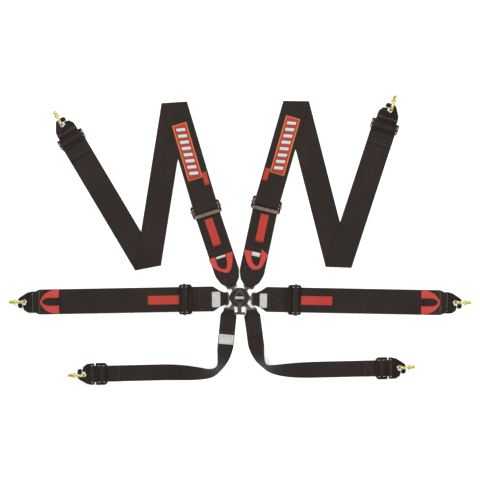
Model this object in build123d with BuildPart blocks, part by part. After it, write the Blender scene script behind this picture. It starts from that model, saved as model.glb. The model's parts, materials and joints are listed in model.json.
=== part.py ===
"""Six-point racing harness with a twist-release cam buckle, laid out flat.

Millimetres. The origin is the centre of the buckle's back face, on the floor; +Z is up, +Y points
along the shoulder straps and +X to the right.
"""

from build123d import *
import os
from math import atan2, cos, degrees, hypot, radians, sin

os.makedirs("parts", exist_ok=True)

# Webbing
WIDE = 76.2  # shoulder and lap straps
NARROW = 49.0  # sub straps
CLOTH = 1.6
LOW = 0.9  # height of the middle of a ply that lies on the floor
SECOND = 2.6  # a ply sewn onto that one
OVER = 2.9  # a ply that lies loose on one other ply
THIRD = 4.9  # a ply that lies loose on two others
LOOP_T = 1.4  # pull loop tape

# Buckle
BACK_T = 2.5
HOUSING_R = 30.0
HOUSING_TOP = 19.5
CEILING = 17.5
PIN_RING_R = 21.0
PIN_R = 3.0
PIN_HOLE_R = 3.06
PIN_FOOT = 3.3
HEAD_R = 4.6
HEAD_FOOT = 11.0
HEAD_TOP = 12.5
SPINDLE_R = 4.0
LEVER_FOOT = 19.8
LEVER_T = 4.0
LEVER_TURN = 30.0
PIN_LIFT = 4.0
TAB_HALF = 6.0
SLOT_HALF = 7.5
TONGUE_FOOT = 2.8
TONGUE_T = 2.5
STEEL = 2.5  # adjuster and slide plates

# Adjuster, measured along the belt from its loop bar, away from the buckle
CHEEK_IN = 39.6
CHEEK_T = 3.0
ADJUSTER_FROM, ADJUSTER_TO = -9.0, 31.0
BAR_AT = 14.0
BAR_MID = 7.5

# Clip-in hook, measured from the middle of the bar that the webbing goes round
HOOK_T = 3.0
HOOK_MID = 5.0
HOOK_TILT = 10.7
SLIDE_TO_HOOK = 24.5
EYE_RING_R = 12.0
EYE_WIRE_R = 4.25
EYE_AT = 43.5
EYE_SIDE = 2.0
EYE_OVER = 3.4  # ring centre above the plate's middle
EYE_TILT = 18.25
THREAD_R = 5.556  # 7/16 inch
THREAD_FROM, SHANK_TIP = 19.3, 36.0
GATE_AT = (19.0, -14.0)

# Layout: where each strap's pin is, and its tongue's end bar, adjuster, folds, slide and hook
PIN_ANGLE = {
    "shoulder_left": 128, "shoulder_right": 52, "lap_left": 180,
    "lap_right": 0, "sub_left": 230, "sub_right": 310,
}
TONGUE_AT = {
    "shoulder_left": (-25.0, 37.0), "shoulder_right": (29.0, 36.0), "lap_left": (-41.5, -4.0),
    "lap_right": (44.5, -5.5), "sub_left": (-32.0, -40.5), "sub_right": (37.0, -41.5),
}
ADJUSTER_AT = {
    "shoulder_left": (-98.8, 257.5), "shoulder_right": (79.3, 271.3),
    "lap_left": (-154.0, -6.0), "lap_right": (157.0, -7.6),
}
TOP_FOLD = {"shoulder_left": (-199.0, 594.0), "shoulder_right": (173.0, 598.0)}
LOW_FOLD = {"shoulder_left": (-279.0, 90.0), "shoulder_right": (302.0, 92.0)}
SLIDE_AT = {
    "shoulder_left": (-511.0, 480.0), "shoulder_right": (441.5, 519.0),
    "sub_left": (-420.0, -233.0), "sub_right": (432.5, -216.0),
}
LAP_HOOK_AT = {"lap_left": (-625.5, -14.5), "lap_right": (627.5, -16.5)}
SUB_HEADING = {"sub_left": 264.5, "sub_right": 277.5}
# Side of the belt that the hook's straight edge is on: 1 for its left, looking away from the buckle
HOOK_SIDE = {
    "shoulder_left": 1, "shoulder_right": -1, "lap_left": -1,
    "lap_right": 1, "sub_left": 1, "sub_right": 1,
}
# Levels of the three runs of each shoulder belt, from the adjuster outward
SHOULDER_LEVELS = {"shoulder_left": (THIRD, OVER, LOW), "shoulder_right": (OVER, LOW, OVER)}
TAIL_LEVEL = 4.5
SHOULDER_TAIL = 136.0
LAP_TAIL = 396.0
# Each sub strap rolls on edge through its corner; its middle there: x, y, heading, roll
SUB_FLAT = 94.0
SUB_BEND = {
    "sub_left": [
        (-44.5, -160.0, 262.0, 20.0), (-50.0, -186.0, 248.0, 44.0), (-61.5, -213.0, 226.0, 66.0),
        (-86.0, -229.0, 198.0, 54.0), (-124.0, -231.0, 181.0, 34.0), (-175.0, -229.0, 180.0, 14.0),
    ],
    "sub_right": [
        (53.5, -160.0, 280.0, 28.0), (61.0, -185.0, 290.0, 52.0), (75.0, -206.0, 312.0, 70.0),
        (100.0, -217.0, 344.0, 54.0), (140.0, -221.0, 358.0, 32.0), (190.0, -221.5, 361.0, 12.0),
    ],
}
SUB_REST = {"sub_left": (-230.0, -228.5), "sub_right": (240.0, -220.5)}

STRAPS = list(PIN_ANGLE)
SHOULDERS = [s for s in STRAPS if s in TOP_FOLD]
LAPS = [s for s in STRAPS if s in LAP_HOOK_AT]
SUBS = [s for s in STRAPS if s in SUB_HEADING]


# ---- Directions and planes

def heading(a, b):
    return degrees(atan2(b[1] - a[1], b[0] - a[0]))


def span(a, b):
    return hypot(b[0] - a[0], b[1] - a[1])


def along(a, turn, distance, left=0.0):
    c, s = cos(radians(turn)), sin(radians(turn))
    return (a[0] + distance * c - left * s, a[1] + distance * s + left * c)


def flat(at, turn=0.0, height=0.0):
    """A level plane, its x axis turned from +X."""
    return Plane(
        origin=(at[0], at[1], height),
        x_dir=(cos(radians(turn)), sin(radians(turn)), 0),
        z_dir=(0, 0, 1),
    )


def upright(at, turn):
    """A plane on edge along a belt: x runs away from the buckle and y is up."""
    t = radians(turn)
    return Plane(origin=(at[0], at[1], 0), x_dir=(cos(t), sin(t), 0), z_dir=(sin(t), -cos(t), 0))


def pin_at(strap):
    return along((0, 0), PIN_ANGLE[strap], PIN_RING_R)


def belt_heading(strap):
    """The way the belt leaves its tongue."""
    if strap in SUB_HEADING:
        return SUB_HEADING[strap]
    if strap in LAP_HOOK_AT:
        return heading(TONGUE_AT[strap], LAP_HOOK_AT[strap])
    return heading(TONGUE_AT[strap], ADJUSTER_AT[strap])


def adjuster_heading(strap):
    if strap in LAPS:
        return belt_heading(strap)
    return (belt_heading(strap) + heading(ADJUSTER_AT[strap], TOP_FOLD[strap])) / 2


def end_heading(strap):
    """The way the belt runs into its hook."""
    if strap in LAPS:
        return belt_heading(strap)
    if strap in SUBS:
        return heading(SUB_REST[strap], SLIDE_AT[strap])
    return heading(LOW_FOLD[strap], SLIDE_AT[strap])


def hook_at(strap):
    if strap in LAPS:
        return LAP_HOOK_AT[strap]
    return along(SLIDE_AT[strap], end_heading(strap), SLIDE_TO_HOOK)


def hook_plane(strap):
    """The middle of a hook plate: x runs outward and up its slope, y to the belt's left."""
    t, a = radians(end_heading(strap)), radians(HOOK_TILT)
    x, y = hook_at(strap)
    return Plane(
        origin=(x, y, HOOK_MID),
        x_dir=(cos(t) * cos(a), sin(t) * cos(a), sin(a)),
        z_dir=(-cos(t) * sin(a), -sin(t) * sin(a), cos(a)),
    )


# ---- Belts

def ribbon(line):
    """Outline of a ply of webbing about a bent centreline."""
    steps = [(b[0] - a[0], b[1] - a[1]) for a, b in zip(line, line[1:])]
    normals = [(-v / hypot(u, v), u / hypot(u, v)) for u, v in steps]
    miters = [normals[0]]
    for (a, b), (c, d) in zip(normals, normals[1:]):
        share = 1 + a * c + b * d
        miters.append(((a + c) / share, (b + d) / share))
    miters.append(normals[-1])
    half = CLOTH / 2
    over = [(x + u * half, y + v * half) for (x, y), (u, v) in zip(line, miters)]
    under = [(x - u * half, y - v * half) for (x, y), (u, v) in zip(line, miters)]
    return over + under[::-1]


def belt(line, at, turn, width):
    """A belt that keeps one heading, from its centreline seen from the side."""
    with BuildPart() as made:
        with BuildSketch(upright(at, turn)):
            with BuildLine():
                Polyline(*ribbon(line), close=True)
            make_face()
        extrude(amount=width / 2, both=True)
    return made.part


def cut_to(part, at, turn, outline):
    """The part of a belt inside an outline seen from above."""
    with BuildPart() as made:
        add(part)
        with BuildSketch(flat(at, turn, -1)):
            with BuildLine():
                Polyline(*outline, close=True)
            make_face()
        extrude(amount=40, mode=Mode.INTERSECT)
    return made.part


def both_sides(half_widths):
    """A symmetric outline from (distance, half width) pairs."""
    return half_widths + [(u, -v) for u, v in half_widths[::-1]]


def round_hook(bar_u, last):
    """The centreline of webbing going round the hook's bar, from below and outward."""
    r = 4.1
    turns = range(-90, last + 1, 30)
    return [(bar_u + r * cos(radians(a)), HOOK_MID + r * sin(radians(a))) for a in turns]


def slide_path(start_u, level):
    """Through the 3-bar slide, round the hook's bar and back through the slide."""
    lead = [(start_u, LOW)] if level == LOW else [(start_u, level), (-76, level), (-66, LOW)]
    return [
        *lead, (-10.5, LOW), (-4, 7.3), (4, 7.3), (10.5, LOW),
        *round_hook(SLIDE_TO_HOOK, 150),
        (18.2, SECOND), (11.3, SECOND), (5, 9.1), (-5, 9.1), (-11.3, SECOND), (-60, SECOND),
    ]


def hook_outline(bar_u, start_u, half):
    """A belt narrows just before the hook, whose slot is narrower than the belt."""
    if half < 26:
        return both_sides([(start_u, half), (bar_u + 8, half)])
    return both_sides([(start_u, half), (bar_u - 9, half), (bar_u - 5.5, 26), (bar_u + 8, 26)])


# ---- Folds of the shoulder belts

def unit(a, b):
    length = span(a, b)
    return ((b[0] - a[0]) / length, (b[1] - a[1]) / length)


def crease(a, fold, b):
    """Direction of the fold that turns a belt coming from a so that it leaves towards b."""
    before, after = unit(a, fold), unit(fold, b)
    x, y = before[0] + after[0], before[1] + after[1]
    return (x / hypot(x, y), y / hypot(x, y))


def edge_end(start, end, fold_dir, side):
    """Where one edge of a run from start to end meets the fold at its end."""
    ux, uy = unit(start, end)
    ox, oy = -uy * side * WIDE / 2, ux * side * WIDE / 2
    mx, my = -fold_dir[1], fold_dir[0]
    t = ((end[0] - start[0] - ox) * mx + (end[1] - start[1] - oy) * my) / (ux * mx + uy * my)
    return (start[0] + ox + ux * t, start[1] + oy + uy * t)


def slab(outline, low, high):
    with BuildPart() as made:
        with BuildSketch(Plane.XY.offset(low)):
            with BuildLine():
                Polyline(*outline, close=True)
            make_face()
        extrude(amount=high - low)
    return made.part


def fold_strip(start, fold, fold_dir, low, high):
    """The web of cloth that joins two runs along their fold."""
    a, b = (edge_end(start, fold, fold_dir, side) for side in (1, -1))
    mx, my = -fold_dir[1], fold_dir[0]
    inward = 1 if (start[0] - fold[0]) * mx + (start[1] - fold[1]) * my > 0 else -1
    shift = (mx * inward * CLOTH, my * inward * CLOTH)
    outline = [a, b, (b[0] + shift[0], b[1] + shift[1]), (a[0] + shift[0], a[1] + shift[1])]
    return slab(outline, low, high)


def write(part, name):
    part.label = name
    export_step(part, f"parts/{name}.step")


# ---- Buckle

with BuildPart() as buckle_back_plate:
    with BuildSketch():
        Circle(HOUSING_R - 1)
    extrude(amount=BACK_T)
    with BuildSketch(flat(pin_at("lap_left"), 0, BACK_T)):
        Circle(PIN_R)
    extrude(amount=3.1)
    with BuildSketch(Plane.XY.offset(0.7)):
        Circle(SPINDLE_R + 0.06)
    extrude(amount=BACK_T, mode=Mode.SUBTRACT)
    for angle in (26, 90, 154, 270):
        with BuildSketch(flat(along((0, 0), angle, 25.5))):
            Circle(3.0)
        extrude(amount=1.4, mode=Mode.SUBTRACT)
        with BuildSketch(flat(along((0, 0), angle, 25.5))):
            Circle(1.6)
        extrude(amount=BACK_T, mode=Mode.SUBTRACT)
write(buckle_back_plate.part, "buckle_back_plate")

with BuildPart() as housing_screws:
    for angle in (26, 90, 154, 270):
        with BuildSketch(flat(along((0, 0), angle, 25.5), 0, 0.1)):
            Circle(2.8)
        extrude(amount=1.2)
        with BuildSketch(flat(along((0, 0), angle, 25.5), 0, 1.3)):
            Circle(1.5)
        extrude(amount=8.0)
write(housing_screws.part, "housing_screws")

with BuildPart() as buckle_housing:
    with BuildSketch(Plane.XY.offset(BACK_T)):
        Circle(HOUSING_R)
    extrude(amount=HOUSING_TOP - BACK_T)
    fillet(buckle_housing.edges().group_by(Axis.Z)[-1], 3)
    with BuildSketch(Plane.XY.offset(BACK_T)):
        Circle(15)
    extrude(amount=5.5, mode=Mode.SUBTRACT)
    with BuildSketch(Plane.XY.offset(8)):
        Circle(18.2)
    extrude(amount=CEILING - 8, mode=Mode.SUBTRACT)
    with BuildSketch(Plane.XY.offset(CEILING)):
        Circle(SPINDLE_R + 0.06)
    extrude(amount=5, mode=Mode.SUBTRACT)
    for strap in STRAPS:
        turn = heading(pin_at(strap), TONGUE_AT[strap])
        with BuildSketch(flat(along(pin_at(strap), turn, -6.5), turn, BACK_T)):
            Rectangle(30, 2 * SLOT_HALF, align=(Align.MIN, Align.CENTER))
        extrude(amount=TONGUE_FOOT + TONGUE_T + 0.3 - BACK_T, mode=Mode.SUBTRACT)
        if strap != "lap_left":
            with BuildSketch(flat(pin_at(strap), 0, BACK_T)):
                Circle(PIN_HOLE_R)
            extrude(amount=10, mode=Mode.SUBTRACT)
            with BuildSketch(flat(pin_at(strap), 0, 10.5)):
                Circle(HEAD_R + 0.4)
            extrude(amount=CEILING - 10.5, mode=Mode.SUBTRACT)
    for angle in (26, 90, 154, 270):
        with BuildSketch(flat(along((0, 0), angle, 25.5), 0, BACK_T)):
            Circle(1.6)
        extrude(amount=7.2, mode=Mode.SUBTRACT)
write(buckle_housing.part, "buckle_housing")

with BuildPart() as lock_pins:
    for strap in STRAPS:
        if strap != "lap_left":
            with BuildSketch(flat(pin_at(strap), 0, PIN_FOOT)):
                Circle(PIN_R)
            extrude(amount=HEAD_TOP - PIN_FOOT)
            with BuildSketch(flat(pin_at(strap), 0, HEAD_FOOT)):
                Circle(HEAD_R)
            extrude(amount=HEAD_TOP - HEAD_FOOT)
write(lock_pins.part, "lock_pins")

with BuildPart() as pin_springs:
    for strap in STRAPS:
        if strap != "lap_left":
            with BuildSketch(flat(pin_at(strap), 0, HEAD_TOP + 0.1)):
                Circle(3.9)
                Circle(2.9, mode=Mode.SUBTRACT)
            extrude(amount=CEILING - HEAD_TOP - 0.2)
write(pin_springs.part, "pin_springs")

with BuildPart() as lever_spring:
    with BuildSketch(Plane.XY.offset(12.6)):
        Circle(9)
        Circle(7, mode=Mode.SUBTRACT)
    extrude(amount=CEILING - 12.6)
write(lever_spring.part, "lever_spring")

with BuildPart() as spindle:
    with BuildSketch(Plane.XY.offset(0.9)):
        Circle(SPINDLE_R)
    extrude(amount=LEVER_FOOT + LEVER_T - 0.9)
write(spindle.part, "spindle")

# The ramps stand beside the pin heads and run under them as the lever turns.
with BuildPart() as cam_plate:
    with BuildSketch(Plane.XY.offset(8.3)):
        Circle(17.6)
    extrude(amount=1.5)
    with BuildSketch(Plane.XY.offset(9.8)):
        Circle(6)
    extrude(amount=2.2)
    for strap in STRAPS:
        if strap != "lap_left":
            angle = PIN_ANGLE[strap] - 8 - LEVER_TURN / 2
            ramp = Plane(
                origin=(15.6 * cos(radians(angle)), 15.6 * sin(radians(angle)), 0),
                x_dir=(-sin(radians(angle)), cos(radians(angle)), 0),
                z_dir=(cos(radians(angle)), sin(radians(angle)), 0),
            )
            # This plane's y axis is up, since x is the way the cam turns and z points outward.
            with BuildSketch(ramp):
                with BuildLine():
                    Polyline((4.4, 9.5), (4.4, 10.6), (-4.4, 10.6 + PIN_LIFT), (-4.4, 9.5), close=True)
                make_face()
            extrude(amount=1.4)
    with BuildSketch(Plane.XY.offset(8)):
        Circle(SPINDLE_R)
    extrude(amount=6, mode=Mode.SUBTRACT)
write(cam_plate.part, "cam_plate")

with BuildPart() as release_lever:
    with BuildSketch(Plane.XY.offset(LEVER_FOOT)):
        with Locations((0, -2)):
            Circle(17.5)
        with Locations((0, 28)):
            Circle(2.5)
        make_hull()
    extrude(amount=LEVER_T)
    with BuildSketch(Plane.XY.offset(LEVER_FOOT)):
        with Locations((0, -32)):
            Rectangle(13, 34)
    extrude(amount=LEVER_T)
    with BuildSketch(Plane.XY.offset(LEVER_FOOT + LEVER_T)):
        with Locations((0, -2)):
            Circle(17.0)
        with Locations((0, 28)):
            Circle(2.0)
        make_hull()
        with Locations((0, -2)):
            Circle(14.8, mode=Mode.SUBTRACT)
    extrude(amount=1.2)
    with BuildSketch(Plane.XY.offset(LEVER_FOOT - 1.2)):
        with Locations((0, -48)):
            SlotOverall(35, 7.5)
    extrude(amount=LEVER_T + 3.6)
    with BuildSketch(Plane.XY.offset(LEVER_FOOT)):
        Circle(SPINDLE_R)
    extrude(amount=LEVER_T, mode=Mode.SUBTRACT)
write(release_lever.part, "release_lever")

with BuildPart() as lever_cap:
    with BuildSketch(Plane.XY.offset(LEVER_FOOT + LEVER_T)):
        with Locations((0, -2)):
            Circle(14.6)
    extrude(amount=1.8)
    chamfer(lever_cap.edges().group_by(Axis.Z)[-1], 0.7)
write(lever_cap.part, "lever_cap")


# ---- Tongues: a tab that enters the buckle, and an end bar that the webbing goes round

TIP_HALF = {"shoulder": 13.0, "lap": 17.5, "sub": 13.5}

for strap in STRAPS:
    slot = TIP_HALF[strap.split("_")[0]] + 0.5
    turn = heading(pin_at(strap), TONGUE_AT[strap])
    reach = span(pin_at(strap), TONGUE_AT[strap])
    with BuildPart() as tongue:
        with BuildSketch(flat(pin_at(strap), turn, TONGUE_FOOT)):
            with BuildLine():
                Polyline((-5.5, -4.5), (-4, -TAB_HALF), (reach, -TAB_HALF), (reach, TAB_HALF),
                         (-4, TAB_HALF), (-5.5, 4.5), close=True)
            make_face()
        extrude(amount=TONGUE_T)
        with BuildSketch(flat(TONGUE_AT[strap], belt_heading(strap), TONGUE_FOOT)):
            with BuildLine():
                Polyline(*both_sides([(-10, 12), (-6.5, slot + 3), (3, slot + 3)]), close=True)
            make_face()
        extrude(amount=TONGUE_T)
        with BuildSketch(flat(TONGUE_AT[strap], belt_heading(strap), TONGUE_FOOT)):
            with Locations((-4.2, 0)):
                Rectangle(2.4, 2 * slot)
        extrude(amount=TONGUE_T, mode=Mode.SUBTRACT)
        with BuildSketch(flat(pin_at(strap), 0, TONGUE_FOOT)):
            Circle(PIN_HOLE_R)
        extrude(amount=TONGUE_T, mode=Mode.SUBTRACT)
    write(tongue.part, f"tongue_{strap}")


# ---- Tongue webbing: two plies sewn together, looped round the tongue and the adjuster's loop bar

for strap in SHOULDERS + LAPS:
    turn = belt_heading(strap)
    bar = span(TONGUE_AT[strap], ADJUSTER_AT[strap])
    end = bar + (7.2 if strap in SHOULDERS else 5.9)
    with BuildPart() as sewn:
        with BuildSketch(upright(TONGUE_AT[strap], turn)):
            with BuildLine():
                Polyline((-4.9, 0.9), (3.5, 0.9), (9, 0.1), (end, 0.1), (end, 6.4),
                         (bar - 6.5, 6.4), (bar - 14, 3.5), (17, 3.5), (5, 7.2), (-4.9, 7.2),
                         close=True)
            make_face()
            with Locations((0, 4.05)):
                Rectangle(6.6, 3.1, mode=Mode.SUBTRACT)
        extrude(amount=WIDE / 2, both=True)
        with BuildSketch(upright(ADJUSTER_AT[strap], adjuster_heading(strap))):
            with Locations((0, 3.25)):
                Rectangle(8.6, 3.1)
        extrude(amount=WIDE, both=True, mode=Mode.SUBTRACT)
    tip = TIP_HALF[strap.split("_")[0]] - 1
    if strap in SHOULDERS:
        outline = [(-4.9, tip - 1), (14, 30), (42, WIDE / 2), (end, WIDE / 2)]
    else:
        outline = [(-4.9, tip), (18, 25), (38, WIDE / 2), (end, WIDE / 2)]
    tongue_webbing = cut_to(sewn.part, TONGUE_AT[strap], turn, both_sides(outline))
    if strap in SHOULDERS:
        # The two shoulder belts meet side by side above the buckle.
        side = -1 if strap == "shoulder_left" else 1
        box = [(side * 0.6, -50), (side * 0.6, 400), (side * 400, 400), (side * 400, -50)]
        tongue_webbing = cut_to(tongue_webbing, (0, 0), 0, box)
    write(tongue_webbing, f"tongue_webbing_{strap}")


# ---- Adjusters

for strap in SHOULDERS + LAPS:
    base = flat(ADJUSTER_AT[strap], adjuster_heading(strap))
    back_bar = 2.0 if strap in SHOULDERS else 4.2
    middle = (ADJUSTER_FROM + ADJUSTER_TO) / 2
    length = ADJUSTER_TO - ADJUSTER_FROM
    with BuildPart() as adjuster:
        with BuildSketch(base.offset(2)):
            with Locations((middle, CHEEK_IN + CHEEK_T / 2), (middle, -CHEEK_IN - CHEEK_T / 2)):
                Rectangle(length, CHEEK_T)
        extrude(amount=9)
        with BuildSketch(base.offset(2)):
            with Locations((middle, CHEEK_IN + CHEEK_T + 1.5), (middle, -CHEEK_IN - CHEEK_T - 1.5)):
                Rectangle(length - 6, 3.2)
        extrude(amount=2)
        with BuildSketch(base.offset(2)):
            Rectangle(8, 2 * CHEEK_IN + 1)
        extrude(amount=STEEL)
        with BuildSketch(base.offset(back_bar)):
            with Locations((ADJUSTER_TO - 4.5, 0)):
                Rectangle(6, 2 * CHEEK_IN + 1)
        extrude(amount=STEEL)
        with BuildSketch(base.offset(9)):
            with Locations((ADJUSTER_FROM + 5, 0)):
                Rectangle(10, 2 * CHEEK_IN + 1)
        extrude(amount=2)
        with BuildSketch(base.offset(BAR_MID - 3.3)):
            with Locations((BAR_AT + 1, 0)):
                Rectangle(10.6, 100)
        extrude(amount=6.6, mode=Mode.SUBTRACT)
    write(adjuster.part, f"adjuster_{strap}")

    with BuildPart() as bar:
        with BuildSketch(upright(ADJUSTER_AT[strap], adjuster_heading(strap))):
            with Locations((BAR_AT, BAR_MID)):
                RectangleRounded(8, 6, 2.4)
        extrude(amount=48.5, both=True)
    write(bar.part, f"adjuster_bar_{strap}")


# ---- Shoulder belts: tail, run up to the top fold, run down to the low fold, run out to the hook

for strap in SHOULDERS:
    top, low, slide = TOP_FOLD[strap], LOW_FOLD[strap], SLIDE_AT[strap]
    start = ADJUSTER_AT[strap]
    first, second, third = SHOULDER_LEVELS[strap]
    half = CLOTH / 2
    reach = span(start, top)
    run_out = [
        (-5, 7.6), (4.5, 7.6), (8.2, 11.7), (21.4, 11.7), (23.3, 5.7), (30.5, 5.7), (46, first),
        (reach + 60, first),
    ]
    run_out = belt(run_out, start, heading(start, top), WIDE)
    top_dir, low_dir = crease(start, top, low), crease(top, low, slide)
    corners = [edge_end(start, top, top_dir, side) for side in (1, -1)]
    back = along(start, heading(start, top), -60)
    turn = radians(heading(start, top))
    feet = [(back[0] + s * 60 * sin(turn), back[1] - s * 60 * cos(turn)) for s in (1, -1)]
    run_out = cut_to(run_out, (0, 0), 0, [corners[0], corners[1], feet[0], feet[1]])
    tail = belt(
        [(-SHOULDER_TAIL, TAIL_LEVEL), (-17, TAIL_LEVEL), (-9.5, 7.6), (2, 7.6)],
        start, belt_heading(strap), WIDE,
    )
    down = slab(
        [*[edge_end(low, top, top_dir, s) for s in (1, -1)],
         *[edge_end(top, low, low_dir, s) for s in (1, -1)]],
        second - half, second + half,
    )
    outward = belt(slide_path(-span(low, slide) - 60, third), slide, end_heading(strap), WIDE)
    outward = cut_to(
        outward, slide, end_heading(strap),
        hook_outline(SLIDE_TO_HOOK, -span(low, slide) - 60, WIDE / 2),
    )
    far = along(slide, end_heading(strap), 60)
    turn = radians(end_heading(strap))
    heads = [(far[0] + s * 60 * sin(turn), far[1] - s * 60 * cos(turn)) for s in (1, -1)]
    ends = [edge_end(slide, low, low_dir, side) for side in (1, -1)]
    outward = cut_to(outward, (0, 0), 0, [ends[0], ends[1], heads[1], heads[0]])
    with BuildPart() as shoulder_webbing:
        add(run_out)
        add(tail)
        add(down)
        add(outward)
        add(fold_strip(start, top, top_dir, min(first, second) - half, max(first, second) + half))
        add(fold_strip(top, low, low_dir, min(second, third) - half, max(second, third) + half))
    write(shoulder_webbing.part, f"webbing_{strap}")


# ---- Lap belts: anchor run on the floor, round the adjuster's bar, and the tail back on top

for strap in LAPS:
    start, turn = ADJUSTER_AT[strap], belt_heading(strap)
    hook_u = span(start, LAP_HOOK_AT[strap])
    line = [
        (hook_u - 66, SECOND), (hook_u - 12, SECOND), *round_hook(hook_u, 120)[::-1],
        (7.4, LOW), (7.4, 10.4), (8.8, 11.7), (20.6, 11.7), (22.3, OVER), (LAP_TAIL, OVER),
    ]
    lap = belt(line, start, turn, WIDE)
    lap = cut_to(lap, start, turn, hook_outline(hook_u, -5, WIDE / 2))
    write(lap, f"webbing_{strap}")


# ---- Sub belts: looped round the tongue, rolled on edge through the corner, out to the hook

for strap in SUBS:
    tongue, rest = TONGUE_AT[strap], SUB_REST[strap]
    inner = -1 if strap == "sub_left" else 1
    first = along(tongue, SUB_HEADING[strap], SUB_FLAT)
    line = [
        (72, LOW), (8, LOW), (4.2, 1.7), (-4.1, 1.7), (-4.1, 6.4), (3, 6.4), (15, SECOND),
        (74, SECOND), (84, LOW), (SUB_FLAT, LOW),
    ]
    upper = belt(line, tongue, SUB_HEADING[strap], NARROW)
    tip = TIP_HALF["sub"]
    upper = cut_to(
        upper, tongue, SUB_HEADING[strap],
        both_sides([(-4.9, tip - 1), (14, NARROW / 2), (SUB_FLAT, NARROW / 2)]),
    )
    lower = belt(
        slide_path(-span(rest, SLIDE_AT[strap]), LOW), SLIDE_AT[strap], end_heading(strap), NARROW,
    )
    turns = [(*first, SUB_HEADING[strap], 0), *SUB_BEND[strap], (*rest, end_heading(strap), 0)]
    with BuildPart() as corner:
        for x, y, turn, roll in turns:
            t, r = radians(turn), radians(roll)
            across = (-sin(t) * inner * cos(r), cos(t) * inner * cos(r), sin(r))
            middle = 0.1 + NARROW / 2 * sin(r) + CLOTH / 2 * cos(r)
            with BuildSketch(Plane(origin=(x, y, middle), x_dir=across, z_dir=(cos(t), sin(t), 0))):
                Rectangle(NARROW, CLOTH)
        loft(ruled=True)
    with BuildPart() as sub_webbing:
        add(upper)
        add(corner.part)
        add(lower)
    write(sub_webbing.part, f"webbing_{strap}")


# ---- Pull loops on the four tails, flat Us of tape

SHOULDER_LOOP = (
    [(0, -37), (17, -33.5), (34, -25), (48, -11), (55, 4), (52, 13), (40, 21), (22, 30), (0, 36.5)],
    [(0, -17), (19, -16.5), (33, -9), (40, 3), (37, 10), (24, 13.5), (0, 13.5)],
)
LAP_LOOP = (
    [(0, -37), (22, -34.5), (42, -25), (55, -9), (58, 0), (55, 9), (42, 25), (22, 34.5), (0, 37)],
    [(0, -12), (32, -12), (44, -8.5), (51, 0), (44, 8.5), (32, 12), (0, 12)],
)


def pull_loop(at, turn, outer, inner):
    """x runs from the tail's end to the closed end."""
    with BuildPart() as made:
        with BuildSketch(flat(at, turn, 3.75)):
            with BuildLine():
                edge = Spline(*outer)
                Line(edge @ 1, edge @ 0)
            make_face()
            with BuildLine():
                edge = Spline(*inner)
                Line(edge @ 1, edge @ 0)
            make_face(mode=Mode.SUBTRACT)
        extrude(amount=LOOP_T)
    return made.part


for strap in SHOULDERS:
    turn = belt_heading(strap)
    at = along(ADJUSTER_AT[strap], turn, -SHOULDER_TAIL - 0.2)
    write(pull_loop(at, turn + 180, *SHOULDER_LOOP), f"pull_loop_{strap}")
for strap in LAPS:
    turn = belt_heading(strap)
    at = along(ADJUSTER_AT[strap], turn, LAP_TAIL + 0.2)
    write(pull_loop(at, turn, *LAP_LOOP), f"pull_loop_{strap}")


# ---- 3-bar slides

for strap in SHOULDERS + SUBS:
    inside = 39.5 if strap in SHOULDERS else 25.6
    outside = 42.5 if strap in SHOULDERS else 33.5
    with BuildPart() as slide:
        with BuildSketch(flat(SLIDE_AT[strap], end_heading(strap), 3.7)):
            with BuildLine():
                Polyline(*both_sides([(-17.5, outside - 6), (-11, outside), (17.5, outside)]), close=True)
            make_face()
            with Locations((-7.25, 0), (7.25, 0)):
                Rectangle(8.5, 2 * inside, mode=Mode.SUBTRACT)
        extrude(amount=STEEL)
    write(slide.part, f"slide_{strap}")


# ---- Clip-in hooks with spring gate and eye bolt

# The stamped plate has a slanted edge on one side, and the mouth and a rounded nose on the other.
HOOK_OUTLINE = [
    (-2.5, -32.5), (-2.5, 32.5), (8, 32.5), (20, 29.8), (44, 15), (48, 10.5), (49, 5), (49, -9),
    (40, -12), (25.3, -12), (25.3, -18), (27, -22), (26, -27), (20.5, -31.2), (11, -32.5),
]

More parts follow.
